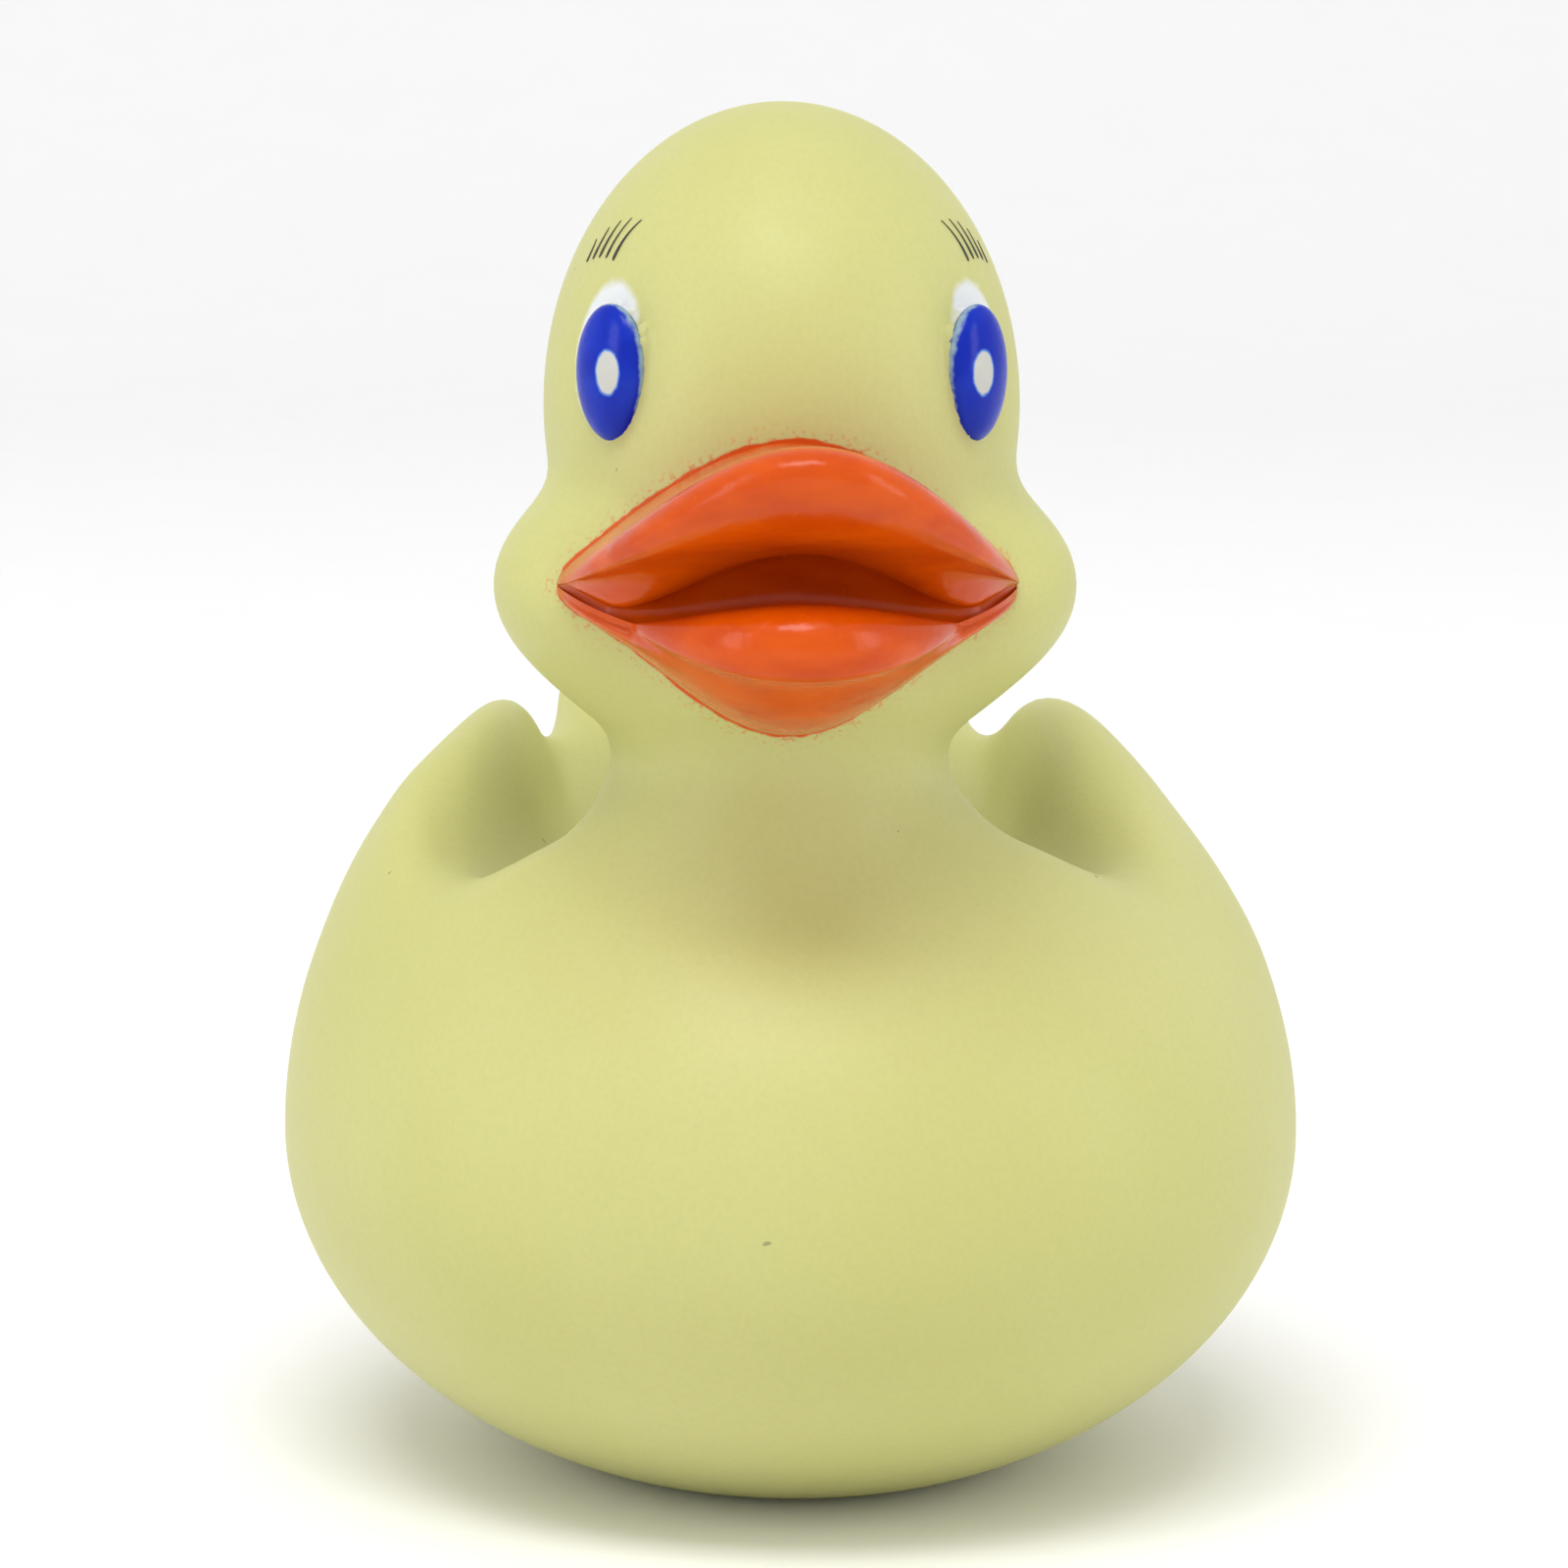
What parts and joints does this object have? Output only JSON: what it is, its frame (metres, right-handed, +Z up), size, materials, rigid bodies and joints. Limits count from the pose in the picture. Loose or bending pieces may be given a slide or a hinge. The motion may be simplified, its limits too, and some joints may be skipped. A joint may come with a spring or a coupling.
{
  "type": "rubber duck bath toy",
  "caption": "Hollow cast vinyl bath duck with raised wings, an upturned tail and a flat base with a small vent hole.",
  "frame": {"origin": "on the underside of the flat base, midway across the body and 3 mm in front of the body's widest section", "axes": "+Z up from the base to the top of the head, -Y forward along the bill, +X to the duck's left"},
  "size_m": [0.0662, 0.0843, 0.0889],
  "materials": {
    "vinyl": "soft cast vinyl, pale greenish yellow, satin",
    "paint_orange": "glossy brushed and sprayed orange paint on the bill",
    "paint_blue": "glossy blue paint, the eye's iris",
    "paint_white": "white paint, the white of the eye and its highlight",
    "paint_black": "black paint, fine brow strokes"
  },
  "bodies": {
    "root": {"duck_body": "vinyl"}
  },
  "joints": []
}
